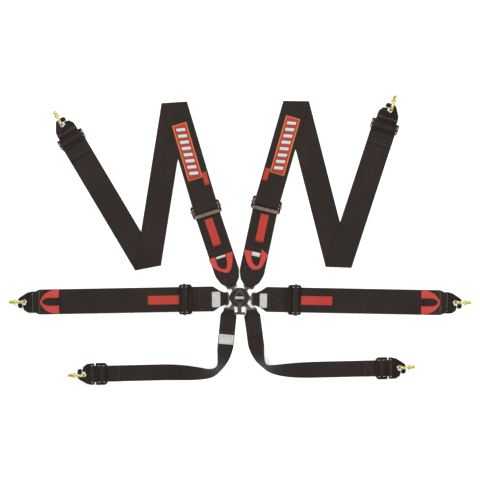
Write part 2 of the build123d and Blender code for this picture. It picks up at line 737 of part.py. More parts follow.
for strap in STRAPS:
    side = HOOK_SIDE[strap]
    plate = hook_plane(strap)
    gate_u, gate_v = GATE_AT
    with BuildPart() as hook:
        with BuildSketch(plate.offset(-HOOK_T / 2)):
            with BuildLine():
                Polyline(*[(u, side * v) for u, v in HOOK_OUTLINE], close=True)
            make_face()
            with Locations((41.3, side * -9.4)):
                Circle(8)
            with Locations((30.4, side * -14)):
                Rectangle(10.2, 22, mode=Mode.SUBTRACT)
            with Locations((29.7, side * EYE_SIDE)):
                Circle(8, mode=Mode.SUBTRACT)
            with Locations((27.5, side * EYE_SIDE)):
                Circle(7, mode=Mode.SUBTRACT)
            with Locations((3.95, 0)):
                Rectangle(2.9, 54, mode=Mode.SUBTRACT)
            with Locations((gate_u, side * gate_v)):
                Circle(2.06, mode=Mode.SUBTRACT)
        extrude(amount=HOOK_T)
    write(hook.part, f"hook_{strap}")

    # The gate's cover lies on the plate and its finger fills the mouth.
    with BuildPart() as gate:
        with BuildSketch(plate.offset(HOOK_T / 2 + 0.15)):
            with Locations((gate_u, side * gate_v)):
                Circle(5.5)
            with Locations((27, side * -21.5)):
                Circle(4.5)
            with Locations((30.5, side * -11)):
                Circle(3.5)
            make_hull()
        extrude(amount=1.2)
        finger = [(26.6, -15.5), (34.2, -15.5), (34.2, -8), (29, -8), (26.6, -11)]
        with BuildSketch(plate.offset(-HOOK_T / 2)):
            with BuildLine():
                Polyline(*[(u, side * v) for u, v in finger], close=True)
            make_face()
        extrude(amount=HOOK_T + 0.2)
        with BuildSketch(plate.offset(-HOOK_T / 2 - 0.5)):
            with Locations((gate_u, side * gate_v)):
                Circle(2)
        extrude(amount=HOOK_T + 3)
        for foot in (-HOOK_T / 2 - 1.5, HOOK_T / 2 + 1.35):
            with BuildSketch(plate.offset(foot)):
                with Locations((gate_u, side * gate_v)):
                    Circle(3.4)
            extrude(amount=1.2)
    write(gate.part, f"gate_{strap}")

    t, down = radians(end_heading(strap)), radians(EYE_TILT)
    centre = plate.from_local_coords((EYE_AT, side * EYE_SIDE, EYE_OVER))
    shank = Vector(cos(t) * cos(down), sin(t) * cos(down), -sin(down))
    across = Vector(sin(t), -cos(t), 0)
    with BuildPart() as eye_bolt:
        with BuildSketch(Plane(origin=centre, x_dir=shank, z_dir=shank.cross(across))):
            with Locations((EYE_RING_R, 0)):
                Circle(EYE_WIRE_R)
        revolve(axis=Axis(centre, across))
        for foot, radius, length in (
            (13.8, 6.5, 2.5), (15.6, 9.0, THREAD_FROM - 15.6), (17, THREAD_R, SHANK_TIP - 17),
        ):
            with BuildSketch(Plane(origin=centre + shank * foot, z_dir=shank)):
                Circle(radius)
            extrude(amount=length)
        tip = eye_bolt.faces().sort_by(Axis(centre, shank))[-1]
        chamfer(tip.edges(), 0.8)
    write(eye_bolt.part, f"eye_bolt_{strap}")
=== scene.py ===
import json
from functools import partial
from math import atan2, cos, degrees, hypot, pi, radians, sin

import bpy
from mathutils import Matrix, Vector


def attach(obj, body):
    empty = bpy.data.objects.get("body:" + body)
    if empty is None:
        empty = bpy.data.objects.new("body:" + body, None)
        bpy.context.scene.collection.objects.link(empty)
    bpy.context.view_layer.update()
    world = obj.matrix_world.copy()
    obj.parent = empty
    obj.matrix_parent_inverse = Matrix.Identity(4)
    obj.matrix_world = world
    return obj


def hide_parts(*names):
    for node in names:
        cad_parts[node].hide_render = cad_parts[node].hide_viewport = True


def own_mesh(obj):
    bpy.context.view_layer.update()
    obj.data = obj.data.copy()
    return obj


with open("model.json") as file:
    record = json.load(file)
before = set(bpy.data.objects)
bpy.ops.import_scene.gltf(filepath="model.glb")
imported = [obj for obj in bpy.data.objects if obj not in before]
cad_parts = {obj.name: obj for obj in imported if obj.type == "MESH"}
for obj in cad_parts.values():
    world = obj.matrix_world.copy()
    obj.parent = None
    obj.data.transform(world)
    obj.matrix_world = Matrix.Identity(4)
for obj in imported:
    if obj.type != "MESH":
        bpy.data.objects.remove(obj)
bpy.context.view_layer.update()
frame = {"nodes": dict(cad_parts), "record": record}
nodes = frame["nodes"]

# Sizes and layout in millimetres, the same as the CAD's; meshes are scaled to metres at the end.
WIDE, NARROW, CLOTH = 76.2, 49.0, 1.6
LOW, SECOND, OVER, THIRD = 0.9, 2.6, 2.9, 4.9
HOOK_MID, HOOK_TILT, SLIDE_TO_HOOK = 5.0, 10.7, 24.5
PIN_ANGLE = {
    "shoulder_left": 128, "shoulder_right": 52, "lap_left": 180,
    "lap_right": 0, "sub_left": 230, "sub_right": 310,
}
TONGUE_AT = {
    "shoulder_left": (-25.0, 37.0), "shoulder_right": (29.0, 36.0), "lap_left": (-41.5, -4.0),
    "lap_right": (44.5, -5.5), "sub_left": (-32.0, -40.5), "sub_right": (37.0, -41.5),
}
ADJUSTER_AT = {
    "shoulder_left": (-98.8, 257.5), "shoulder_right": (79.3, 271.3),
    "lap_left": (-154.0, -6.0), "lap_right": (157.0, -7.6),
}
TOP_FOLD = {"shoulder_left": (-199.0, 594.0), "shoulder_right": (173.0, 598.0)}
LOW_FOLD = {"shoulder_left": (-279.0, 90.0), "shoulder_right": (302.0, 92.0)}
SLIDE_AT = {
    "shoulder_left": (-511.0, 480.0), "shoulder_right": (441.5, 519.0),
    "sub_left": (-420.0, -233.0), "sub_right": (432.5, -216.0),
}
LAP_HOOK_AT = {"lap_left": (-625.5, -14.5), "lap_right": (627.5, -16.5)}
SUB_HEADING = {"sub_left": 264.5, "sub_right": 277.5}
HOOK_SIDE = {
    "shoulder_left": 1, "shoulder_right": -1, "lap_left": -1,
    "lap_right": 1, "sub_left": 1, "sub_right": 1,
}
TIP_HALF = {"shoulder": 13.0, "lap": 17.5, "sub": 13.5}
SHOULDER_TAIL, LAP_TAIL = 136.0, 396.0
# The webbing's middle line: round a hook's slot, round a tongue's bar, round an adjuster's frame.
HOOK_WRAP_R, TONGUE_WRAP_R, FRAME_WRAP_R = 4.4, 2.35, 2.3
SEAM_OVER = 0.88  # a stitch's height over the middle of the ply it is sewn into
HOOK_T, EYE_SIDE = 3.0, 2.0
EYE_AT, EYE_OVER, EYE_TILT, EYE_RING_R, EYE_WIRE_R = 43.5, 3.4, 18.25, 12.0, 4.25
SUB_FLAT = 94.0
SUB_BEND = {
    "sub_left": [
        (-44.5, -160.0, 262.0, 20.0), (-50.0, -186.0, 248.0, 44.0), (-61.5, -213.0, 226.0, 66.0),
        (-86.0, -229.0, 198.0, 54.0), (-124.0, -231.0, 181.0, 34.0), (-175.0, -229.0, 180.0, 14.0),
    ],
    "sub_right": [
        (53.5, -160.0, 280.0, 28.0), (61.0, -185.0, 290.0, 52.0), (75.0, -206.0, 312.0, 70.0),
        (100.0, -217.0, 344.0, 54.0), (140.0, -221.0, 358.0, 32.0), (190.0, -221.5, 361.0, 12.0),
    ],
}
SUB_REST = {"sub_left": (-230.0, -228.5), "sub_right": (240.0, -220.5)}
# Heights of the ends of each shoulder belt's three runs: the cloth settles onto what is under it.
SHOULDER_HEIGHTS = {
    "shoulder_left": ((THIRD, OVER), (LOW, OVER), (LOW, LOW)),
    "shoulder_right": ((OVER, OVER), (LOW, LOW), (OVER, LOW)),
}
STRAPS = list(PIN_ANGLE)
SHOULDERS, LAPS, SUBS = STRAPS[:2], STRAPS[2:4], STRAPS[4:]


# ---- Directions

def heading(a, b):
    return degrees(atan2(b[1] - a[1], b[0] - a[0]))


def span(a, b):
    return hypot(b[0] - a[0], b[1] - a[1])


def along(a, turn, distance, left=0.0):
    """The point at a distance along a heading, and to its left."""
    c, s = cos(radians(turn)), sin(radians(turn))
    return (a[0] + distance * c - left * s, a[1] + distance * s + left * c)


def body(strap):
    return "buckle" if strap == "lap_left" else f"strap_{strap}"


def belt_heading(strap):
    if strap in SUBS:
        return SUB_HEADING[strap]
    end = LAP_HOOK_AT[strap] if strap in LAPS else ADJUSTER_AT[strap]
    return heading(TONGUE_AT[strap], end)


def run_heading(strap):
    return heading(ADJUSTER_AT[strap], TOP_FOLD[strap]) if strap in SHOULDERS else belt_heading(strap)


def adjuster_heading(strap):
    return (belt_heading(strap) + run_heading(strap)) / 2


def end_heading(strap):
    if strap in LAPS:
        return belt_heading(strap)
    return heading(SUB_REST[strap] if strap in SUBS else LOW_FOLD[strap], SLIDE_AT[strap])


def hook_at(strap):
    if strap in LAPS:
        return LAP_HOOK_AT[strap]
    return along(SLIDE_AT[strap], end_heading(strap), SLIDE_TO_HOOK)


# ---- Materials

def linear(rgb):
    return tuple(((c / 255 + 0.055) / 1.055) ** 2.4 if c > 10 else c / 255 / 12.92 for c in rgb)


class Shader:
    """A material with a Principled shader and short helpers for its nodes."""

    def __init__(self, name, rough=0.5, metal=0.0, **sockets):
        self.mat = bpy.data.materials.new(name)
        self.mat.use_nodes = True
        self.tree = self.mat.node_tree
        self.out = self.tree.nodes["Principled BSDF"]
        self.set(self.out, Roughness=rough, Metallic=metal)
        for key, value in sockets.items():
            self.out.inputs[key.replace("_", " ")].default_value = value

    def set(self, node, **values):
        for key, value in values.items():
            node.inputs[key.replace("_", " ")].default_value = value
        return node

    def node(self, kind, links=(), props=None, **values):
        made = self.tree.nodes.new("ShaderNode" + kind)
        for key, value in (props or {}).items():
            setattr(made, key, value)
        for key, value in values.items():
            made.inputs[key.replace("_", " ")].default_value = value
        for key, source in dict(links).items():
            self.tree.links.new(source, made.inputs[key])
        return made

    def maths(self, operation, a, b=0.0):
        made = self.node("Math", props={"operation": operation})
        for socket, value in zip(made.inputs, (a, b)):
            if isinstance(value, (int, float)):
                socket.default_value = value
            else:
                self.tree.links.new(value, socket)
        return made.outputs[0]

    def noise(self, vector, scale, detail=3.0, rough=0.55):
        made = self.node("TexNoise", {"Vector": vector}, Scale=scale, Detail=detail, Roughness=rough)
        return made.outputs["Fac"]

    def ramp(self, factor, stops):
        made = self.node("ValToRGB", {"Fac": factor})
        points = made.color_ramp.elements
        while len(points) < len(stops):
            points.new(0.5)
        for point, (place, colour) in zip(points, stops):
            point.position = place
            point.color = (*colour, 1)
        return made.outputs[0]

    def mix(self, factor, a, b):
        made = self.node("Mix", props={"data_type": "RGBA", "blend_type": "MIX"})
        for socket, value in ((0, factor), (6, a), (7, b)):
            if isinstance(value, (int, float)):
                made.inputs[socket].default_value = value
            elif isinstance(value, tuple):
                made.inputs[socket].default_value = (*value, 1)
            else:
                self.tree.links.new(value, made.inputs[socket])
        return made.outputs[2]

    def bump(self, height, strength, distance):
        made = self.node("Bump", {"Height": height}, Strength=strength, Distance=distance)
        return made.outputs[0]

    def link(self, source, socket):
        self.tree.links.new(source, self.out.inputs[socket])


WEFT_PITCH = 0.0011


def woven(name, dark, light, pitch=0.0016, rib=0.55):
    """Webbing: ribs across the belt, herringbone along it. UV is in metres."""
    s = Shader(name, rough=0.78, Sheen_Weight=0.08, Sheen_Roughness=0.5)
    s.out.inputs["Specular IOR Level"].default_value = 0.25
    uv = s.node("UVMap").outputs[0]
    place = s.node("SeparateXYZ", {"Vector": uv})
    u, v = place.outputs[0], place.outputs[1]
    # The warp runs along the belt in narrow columns, each with a zigzag of threads.
    column = s.maths("MULTIPLY", v, 1 / pitch)
    side = s.maths("PINGPONG", column, 1.0)
    thread = s.maths("ADD", s.maths("MULTIPLY", u, 1 / WEFT_PITCH), s.maths("MULTIPLY", side, rib))
    wave = s.maths("SINE", s.maths("MULTIPLY", thread, 2 * pi))
    groove = s.maths("SINE", s.maths("MULTIPLY", column, 2 * pi))
    height = s.maths("ADD", s.maths("MULTIPLY", wave, 0.5), s.maths("MULTIPLY", groove, 0.35))
    coords = s.node("TexCoord").outputs["Object"]
    fuzz = s.noise(coords, 900.0, 2.0)
    broad = s.noise(coords, 9.0, 3.0)
    tone = s.maths("ADD", s.maths("MULTIPLY", height, 0.20), s.maths("MULTIPLY", fuzz, 0.6))
    tone = s.maths("ADD", tone, s.maths("MULTIPLY", broad, 0.35))
    s.link(s.ramp(tone, [(0.22, linear(dark)), (0.78, linear(light))]), "Base Color")
    s.link(s.maths("ADD", 0.62, s.maths("MULTIPLY", fuzz, 0.25)), "Roughness")
    s.link(s.bump(height, 0.55, 0.00022), "Normal")
    return s.mat


PRINT_LINE = 0.0034


def printed(name, paper, ink):
    """A sewn label with lines of grey print too fine to read."""
    s = Shader(name, rough=0.7)
    place = s.node("SeparateXYZ", {"Vector": s.node("UVMap").outputs[0]})
    line = s.maths("SINE", s.maths("MULTIPLY", place.outputs[1], 2 * pi / PRINT_LINE))
    words = s.noise(s.node("TexCoord").outputs["Object"], 420.0, 2.0)
    mask = s.maths("MULTIPLY", s.maths("GREATER_THAN", line, 0.35), s.maths("GREATER_THAN", words, 0.5))
    s.link(s.mix(mask, linear(paper), linear(ink)), "Base Color")
    s.link(s.bump(words, 0.3, 0.0001), "Normal")
    return s.mat


def metal(name, colour, worn, rough, metallic, scratch=0.5, grain=(1, 1, 1), shine=0.5):
    """Metal or paint with uneven gloss, fine scratches and lighter wear in patches."""
    s = Shader(name, rough=rough, metal=metallic)
    s.out.inputs["Specular IOR Level"].default_value = shine
    coords = s.node("TexCoord").outputs["Object"]
    stretched = s.node("Mapping", {"Vector": coords}, Scale=Vector(grain))
    fine = s.noise(stretched.outputs[0], 420.0, 4.0, 0.65)
    broad = s.noise(coords, 38.0, 3.0)
    wear = s.ramp(s.maths("MULTIPLY", fine, broad), [(0.22, (0, 0, 0)), (0.42, (scratch,) * 3)])
    s.link(s.mix(wear, linear(colour), linear(worn)), "Base Color")
    uneven = s.maths("MULTIPLY", s.maths("SUBTRACT", fine, 0.5), 0.3)
    s.link(s.maths("ADD", rough, s.maths("ADD", uneven, s.maths("MULTIPLY", broad, 0.08))), "Roughness")
    s.link(s.bump(fine, 0.12, 0.0001), "Normal")
    return s.mat


def plain(name, colour, rough=0.6, noise_scale=300.0, sheen=0.0):
    """Moulded plastic, printed label or thread."""
    s = Shader(name, rough=rough, Sheen_Weight=sheen)
    coords = s.node("TexCoord").outputs["Object"]
    fine = s.noise(coords, noise_scale, 3.0)
    dark = tuple(c * 0.84 for c in colour)
    s.link(s.ramp(fine, [(0.3, linear(dark)), (0.7, linear(colour))]), "Base Color")
    s.link(s.bump(fine, 0.25, 0.00012), "Normal")
    return s.mat


MAT = {
    "webbing": woven("webbing_black", (21, 14, 10), (51, 40, 32)),
    "red": woven("webbing_red", (176, 50, 43), (224, 88, 77), pitch=0.0013),
    "patch_red": woven("patch_red", (164, 44, 34), (206, 74, 60), pitch=0.0008, rib=0.2),
    "orange": woven("patch_edge", (204, 98, 44), (238, 150, 84), pitch=0.0006, rib=0.1),
    "label": woven("label_white", (196, 195, 192), (228, 228, 226), pitch=0.0006, rib=0.1),
    "print": printed("label_printed", (206, 205, 202), (132, 130, 128)),
    "thread_dark": plain("thread_dark", (66, 58, 51), 0.7, 1500.0, 0.2),
    "thread_grey": plain("thread_grey", (150, 146, 140), 0.7, 1500.0, 0.2),
    "thread_red": plain("thread_red", (160, 38, 32), 0.7, 1500.0, 0.2),
    "black": metal("hardware_black", (30, 21, 17), (104, 84, 68), 0.3, 0.0, 0.22, shine=0.22),
    "housing": metal("housing_black", (44, 36, 31), (128, 112, 96), 0.24, 0.2, 0.3),
    # edge: a light metal colour painted as a highlight on the shoulder adjusters' lips and grip bars,
    # with lighter wear in patches
    "edge": metal("hardware_highlight_and_wear", (146, 128, 110), (214, 202, 186), 0.2, 0.9, 0.6, (1, 6, 1)),
    "lever": metal("lever_grey", (74, 64, 56), (158, 146, 132), 0.26, 0.3, 0.35),
    "steel": metal("tongue_steel", (112, 100, 80), (214, 210, 200), 0.25, 0.95, 0.5, (1, 8, 1)),
    "bright": metal("spring_steel", (150, 147, 140), (206, 203, 196), 0.24, 1.0, 0.5),
    "zinc": metal("zinc_yellow", (206, 196, 132), (232, 224, 176), 0.24, 0.95, 0.5),
    "cap": plain("cap_black", (10, 8, 8), 0.5, 900.0),
    "badge_red": plain("badge_red", (196, 60, 52), 0.5, 700.0),
    "mark": plain("cap_mark", (236, 236, 234), 0.5, 700.0),
    "plate": metal("back_plate", (120, 116, 110), (170, 166, 158), 0.35, 0.9, 0.4),
}


# ---- Meshes

def piece(name, verts, faces, mat, on, stands_for=(), uvs=None, smooth=True):
    """An object from millimetre vertices; uvs has one (u, v) for each vertex, in millimetres."""
    mesh = bpy.data.meshes.new(name)
    mesh.from_pydata([tuple(c / 1000 for c in v) for v in verts], [], faces)
    mesh.materials.append(MAT[mat])
    if uvs:
        layer = mesh.uv_layers.new(name="UVMap")
        for loop in mesh.loops:
            u, v = uvs[loop.vertex_index]
            layer.data[loop.index].uv = (u / 1000, v / 1000)
    mesh.validate()
    if smooth:
        mesh.shade_smooth()
    obj = bpy.data.objects.new(name, mesh)
    bpy.context.collection.objects.link(obj)
    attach(obj, on)
    if stands_for:
        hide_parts(*stands_for)
    return obj


EDGE = (-1.0, -0.985, -0.955, -0.9, -0.72, -0.48, -0.24, 0.0,
        0.24, 0.48, 0.72, 0.9, 0.955, 0.985, 1.0)


def cloth(name, rows, mat, on, stands_for=(), thick=CLOTH, soft=0.45):
    """A closed ply of cloth from its rows; soft is how thick it is left at its selvedges."""
    grid = [[a.lerp(b, (1 - t) / 2) for t in EDGE] for b, a in rows]
    count, cols = len(grid), len(EDGE)
    top, under, uv_top = [], [], []
    lengths = [0.0] * cols
    for i, row in enumerate(grid):
        before, after = grid[max(i - 1, 0)], grid[min(i + 1, count - 1)]
        across = row[-1] - row[0]
        for j, p in enumerate(row):
            if i:
                lengths[j] += (p - grid[i - 1][j]).length
            normal = (after[j] - before[j]).cross(across)
            normal.normalize()
            end = 0.75 if i in (0, count - 1) else 1.0
            t = abs(EDGE[j])
            rim = soft if t > 0.99 else 0.5 + soft * 0.85 if t > 0.98 else 1.0
            half = thick / 2 * min(rim, 1.0) * end
            top.append(p + normal * half)
            under.append(p - normal * half)
            uv_top.append((lengths[j], EDGE[j] * across.length / 2))
    n = count * cols
    faces = []
    for i in range(count - 1):
        for j in range(cols - 1):
            a, b, c, d = i * cols + j, i * cols + j + 1, (i + 1) * cols + j + 1, (i + 1) * cols + j
            faces += [(a, d, c, b), (a + n, b + n, c + n, d + n)]
        for j in (0, cols - 1):
            a, d = i * cols + j, (i + 1) * cols + j
            faces.append((a, a + n, d + n, d) if j == 0 else (a, d, d + n, a + n))
    for i in (0, count - 1):
        for j in range(cols - 1):
            a, b = i * cols + j, i * cols + j + 1
            faces.append((a, b, b + n, a + n) if i == 0 else (a, a + n, b + n, b))
    return piece(name, top + under, faces, mat, on, stands_for, uv_top + uv_top)


def rounded(line, radius=1.6, step=9.0):
    """A (u, z) path with its corners rounded and its long runs divided."""
    out = [line[0]]
    for before, at, after in zip(line, line[1:], line[2:]):
        a, b = span(at, before), span(at, after)
        u1 = ((before[0] - at[0]) / a, (before[1] - at[1]) / a)
        u2 = ((after[0] - at[0]) / b, (after[1] - at[1]) / b)
        cut = min(radius, a * 0.45, b * 0.45)
        start = (at[0] + u1[0] * cut, at[1] + u1[1] * cut)
        end = (at[0] + u2[0] * cut, at[1] + u2[1] * cut)
        for k in range(5):
            t = k / 4
            out.append(tuple(
                start[i] * (1 - t) ** 2 + 2 * at[i] * t * (1 - t) + end[i] * t * t for i in (0, 1)
            ))
    out.append(line[-1])
    full = [out[0]]
    for a, b in zip(out, out[1:]):
        parts = max(1, int(span(a, b) / step))
        full += [(a[0] + (b[0] - a[0]) * k / parts, a[1] + (b[1] - a[1]) * k / parts)
                 for k in range(1, parts + 1)]
    return full


def widths(table):
    """Half width at a distance along a belt, from (distance, half width) pairs."""
    def half(u):
        if u <= table[0][0]:
            return table[0][1]
        for (a, x), (b, y) in zip(table, table[1:]):
            if u <= b:
                return x + (y - x) * (u - a) / (b - a)
        return table[-1][1]
    return half


def level_rows(path, at, turn, half):
    """Rows of a belt that keeps one heading; turn may be a function of the distance."""
    rows = []
    for u, z in path:
        angle = turn(u) if callable(turn) else turn
        w = half(u) if callable(half) else half
        a, b = along(at, angle, u, w), along(at, angle, u, -w)
        rows.append((Vector((*a, z)), Vector((*b, z))))
    return rows


# ---- Folds

def crease(a, fold, b):
    before = (Vector(fold) - Vector(a)).normalized()
    after = (Vector(b) - Vector(fold)).normalized()
    line = (before + after).normalized()
    out = Vector((-line.y, line.x))
    return line, out if out.dot(before) > 0 else -out


def fold_rows(a, fold, b, low, high, flip, rising):
    """Rows round a fold of the belt that comes from a and leaves for b."""
    line, out = crease(a, fold, b)
    ahead = (Vector(fold) - Vector(a)).normalized()
    left = Vector((-ahead.y, ahead.x)) * flip
    r = (high - low) / 2
    reach = pi * r / 2
    middle = (high + low) / 2
    bend, beyond, spacing = 8, 2, 1.5
    distances = [
        *(-reach - spacing * k for k in range(beyond, 0, -1)),
        *(reach * (k - bend / 2) / (bend / 2) for k in range(bend + 1)),
        *(reach + spacing * k for k in range(1, beyond + 1)),
    ]
    rows = []
    for d in distances:
        ends = []
        for side in (1, -1):
            offset = left * side * WIDE / 2
            t = (d - offset.dot(out)) / ahead.dot(out)
            p = offset + ahead * t
            if d < -reach:
                m, z = d + reach - r, 1.0
            elif d > reach:
                m, z = -r - (d - reach), -1.0
            else:
                phi = (d + reach) / r
                m, z = -r + r * sin(phi), cos(phi)
            q = Vector(fold) + line * p.dot(line) + out * m
            height = middle + (z if not rising else -z) * r
            ends.append(Vector((q.x, q.y, height)))
        rows.append(tuple(ends))
    return rows


CREASE_REACH, ROW_STEP = 70, 8


def run_rows(a, b, z_a, z_b, line_a, line_b, flip, skip_a, skip_b):
    """Rows of a straight run whose ends follow the folds' creases."""
    ahead = (Vector(b) - Vector(a)).normalized()
    left = Vector((-ahead.y, ahead.x)) * flip
    length = span(a, b)

    def shear(line):
        return line.dot(ahead) / line.dot(left) if line else 0.0

    def fade(x):
        return max(0.0, 1 - x / CREASE_REACH) ** 2

    rows = []
    count = int((length - skip_a - skip_b) / ROW_STEP)
    for k in range(count + 1):
        t = skip_a + (length - skip_a - skip_b) * k / count
        lean = shear(line_a) * fade(t) + shear(line_b) * fade(length - t)
        share = (t - skip_a) / (length - skip_a - skip_b)
        z = z_a + (z_b - z_a) * (3 * share ** 2 - 2 * share ** 3)
        ends = []
        for side in (1, -1):
            p = Vector(a) + ahead * (t + side * WIDE / 2 * lean) + left * side * WIDE / 2
            ends.append(Vector((p.x, p.y, z)))
        rows.append(tuple(ends))
    return rows


# ---- Stitches: thread lies in short raised lengths

def stitches(name, lines, mat, on, pitch=3.4, length=2.5, wide=0.42):
    """Rows of stitches along lines of (x, y, z) points on a surface."""
    verts, faces = [], []
    for line in lines:
        for a, b in zip(line, line[1:]):
            a, b = Vector(a), Vector(b)
            run = (b - a).length
            if run < 1e-6:
                continue
            ahead = (b - a) / run
            side = Vector((0, 0, 1)).cross(ahead).normalized() * wide
            up = Vector((0, 0, 1)) * wide * 0.62
            count = max(1, int(run / pitch))
            for k in range(count):
                c = a + ahead * run * (k + 0.5) / count
                n = len(verts)
                verts += [c - ahead * length / 2 - up * 0.4, c + ahead * length / 2 - up * 0.4]
                for place in (-0.28, 0.28):
                    base = c + ahead * length * place
                    verts += [base + side, base + up, base - side, base - up * 0.6]
                for k2 in range(4):
                    j = (k2 + 1) % 4
                    faces += [(n, n + 2 + j, n + 2 + k2), (n + 1, n + 6 + k2, n + 6 + j),
                              (n + 2 + k2, n + 2 + j, n + 6 + j, n + 6 + k2)]
    return piece(name, verts, faces, mat, on)


def box_stitch(at, turn, u0, u1, half, z):
    """A sewn rectangle with a W inside, as lines of points."""
    def p(u, v):
        return (*along(at, turn, u, v), z)

    frame_line = [p(u0, -half), p(u1, -half), p(u1, half), p(u0, half), p(u0, -half)]
    return [frame_line, [p(u0 if k % 2 else u1, -half + half / 2 * k) for k in range(5)]]


def outline_stitch(corners, inset, z):
    """A row of stitches just inside a patch's outline."""
    centre = [sum(c[i] for c in corners) / len(corners) for i in (0, 1)]
    ring = []
    for x, y in corners:
        d = span(centre, (x, y))
        k = 1 - inset * 1.3 / d
        q = (centre[0] + (x - centre[0]) * k, centre[1] + (y - centre[1]) * k)
        ring.append((*q, z(*q) if callable(z) else z))
    return [ring + ring[:1]]


def patch(name, corners, z, mat, on, thick=0.8, step=9.0):
    """A flat sewn-on patch; corners go round it, starting with one end's left and right."""
    a, b, c, d = (Vector(p) for p in corners)
    count = max(2, int((d - a).length / step))
    rows = []
    for k in range(count + 1):
        t = k / count
        ends = []
        for p in (a.lerp(d, t), b.lerp(c, t)):
            ends.append(Vector((p.x, p.y, z(p.x, p.y) if callable(z) else z)))
        rows.append(tuple(ends))
    return cloth(name, rows, mat, on, thick=thick, soft=0.4)


# ---- Tongue webbing

def around(centre, r, start, end, count=8):
    return [(centre[0] + r * cos(radians(start + (end - start) * k / count)),
             centre[1] + r * sin(radians(start + (end - start) * k / count)))
            for k in range(count + 1)]


LAP_NECK = [(1.5, 18), (18.5, 25), (38, WIDE / 2)]
MIDDLE_GAP = 0.7  # the shoulder belts' edges stop this short of the line between them

for strap in SHOULDERS + LAPS:
    kind = strap.split("_")[0]
    at, turn = TONGUE_AT[strap], belt_heading(strap)
    bar = span(at, ADJUSTER_AT[strap])
    path = [
        (70, LOW), (8, LOW), (3, 1.7), *around((-2.4, 4.05), TONGUE_WRAP_R, 270, 90), (3, 6.4),
        (16, 2.7), (bar - 14, 2.7), (bar - 6, 5.5), (bar + 3.0, 5.5),
        *around((bar + 3.2, 3.2), FRAME_WRAP_R, 90, -90), (bar - 5, LOW), (71, LOW),
    ]
    tip = TIP_HALF[kind] - 0.6
    if kind == "shoulder":
        table = [(-4.9, tip - 1), (14, 29), (34, 36.2), (42, WIDE / 2)]
    else:
        table = [(-4.9, tip), *LAP_NECK]
    rows = level_rows(rounded(path, 2.0), at, turn, widths(table))
    if kind == "shoulder":
        side = -1 if strap == "shoulder_left" else 1
        for left, right in rows:
            for p in (left, right):
                if p.x * side < MIDDLE_GAP:
                    p.x = MIDDLE_GAP * side
    cloth(f"tongue_belt_{strap}", rows, "webbing", body(strap), [f"tongue_webbing_{strap}"])
    first = 20 if kind == "shoulder" else 46
    lines = box_stitch(at, turn, first, first + 34, 24 if kind == "shoulder" else 31, 3.58)
    stitches(f"tongue_stitches_{strap}", lines, "thread_dark", body(strap))


# ---- Shoulder belts

# How far the straight rows of each run stay from its two ends.
RUN_SKIPS = [(48, 8), (8, 8), (8, 74)]


def shoulder_height(strap, run):
    """Height of the middle of a run at a point of it, as run_rows places it."""
    ends = [ADJUSTER_AT[strap], TOP_FOLD[strap], LOW_FOLD[strap], SLIDE_AT[strap]]
    a, b = Vector(ends[run]), Vector(ends[run + 1])
    skip_a, skip_b = RUN_SKIPS[run]
    z_a, z_b = SHOULDER_HEIGHTS[strap][run]
    length = (b - a).length

    def height(x, y):
        t = (Vector((x, y)) - a).dot((b - a).normalized())
        share = min(1, max(0, (t - skip_a) / (length - skip_a - skip_b)))
        return z_a + (z_b - z_a) * (3 * share ** 2 - 2 * share ** 3)
    return height


def slide_path(start_u):
    """From the floor through the 3-bar slide, round the hook's bar and back."""
    h = SLIDE_TO_HOOK
    return [
        (start_u, LOW), (-12, LOW), (-9, LOW), (-4, 7.3), (4, 7.3), (9.5, LOW), (h - 4, LOW),
        *around((h, HOOK_MID), HOOK_WRAP_R, -90, 150, 10), (18.2, SECOND), (11.3, SECOND),
        (5, 9.1), (-5, 9.1), (-11.3, SECOND), (-60, SECOND),
    ]


def hook_taper(h, gather, past):
    """Half widths of a belt that gathers into the hook's slot at h."""
    return widths([(h - gather, WIDE / 2), (h - 6, 33.5), (h - 3.2, 31), (h - 1, 26.4), (past, 26)])


for strap in SHOULDERS:
    start, top, low, slide = ADJUSTER_AT[strap], TOP_FOLD[strap], LOW_FOLD[strap], SLIDE_AT[strap]
    heights = SHOULDER_HEIGHTS[strap]
    tail_turn, main_turn = belt_heading(strap), run_heading(strap)

    def turn(u):
        t = min(1, max(0, (u + 10) / 50))
        return tail_turn + (main_turn - tail_turn) * t

    path = [
        (-SHOULDER_TAIL, 4.5), (-17, 4.5), (-9.5, 7.6), (4.5, 7.6), (8.4, 11.7), (21.4, 11.7),
        (23.4, 5.7), (30.5, 5.7), (46, heights[0][0]),
    ]
    rows = level_rows(rounded(path, 3.0), start, turn, WIDE / 2)
    top_line, low_line = crease(start, top, low)[0], crease(top, low, slide)[0]
    rows += run_rows(start, top, *heights[0], None, top_line, 1, *RUN_SKIPS[0])
    rows += fold_rows(start, top, low, heights[1][0], heights[0][1], 1, heights[0][1] < heights[1][0])
    rows += run_rows(top, low, *heights[1], top_line, low_line, -1, *RUN_SKIPS[1])
    z_in, z_out = heights[1][1], heights[2][0]
    rows += fold_rows(top, low, slide, min(z_in, z_out), max(z_in, z_out), -1, z_in < z_out)
    rows += run_rows(low, slide, *heights[2], low_line, None, 1, *RUN_SKIPS[2])
    taper = hook_taper(SLIDE_TO_HOOK, 12, 60)
    rows += level_rows(rounded(slide_path(-70), 1.5), slide, end_heading(strap), taper)
    cloth(f"belt_{strap}", rows, "webbing", body(strap), [f"webbing_{strap}"])


# ---- Lap belts

for strap in LAPS:
    start, turn = ADJUSTER_AT[strap], belt_heading(strap)
    h = span(start, LAP_HOOK_AT[strap])
    path = [
        (h - 66, SECOND), (h - 12, SECOND), (h - 5, 7.6),
        *around((h, HOOK_MID), HOOK_WRAP_R, 125, -90, 10), (h - 4, LOW), (7.2, LOW), (7.2, 10.4),
        (8.8, 11.7), (20.6, 11.7), (22.3, OVER), (LAP_TAIL, OVER),
    ]
    rows = level_rows(rounded(path, 1.6), start, turn, hook_taper(h, 15, h + 20))
    cloth(f"belt_{strap}", rows, "webbing", body(strap), [f"webbing_{strap}"])


# ---- Sub belts

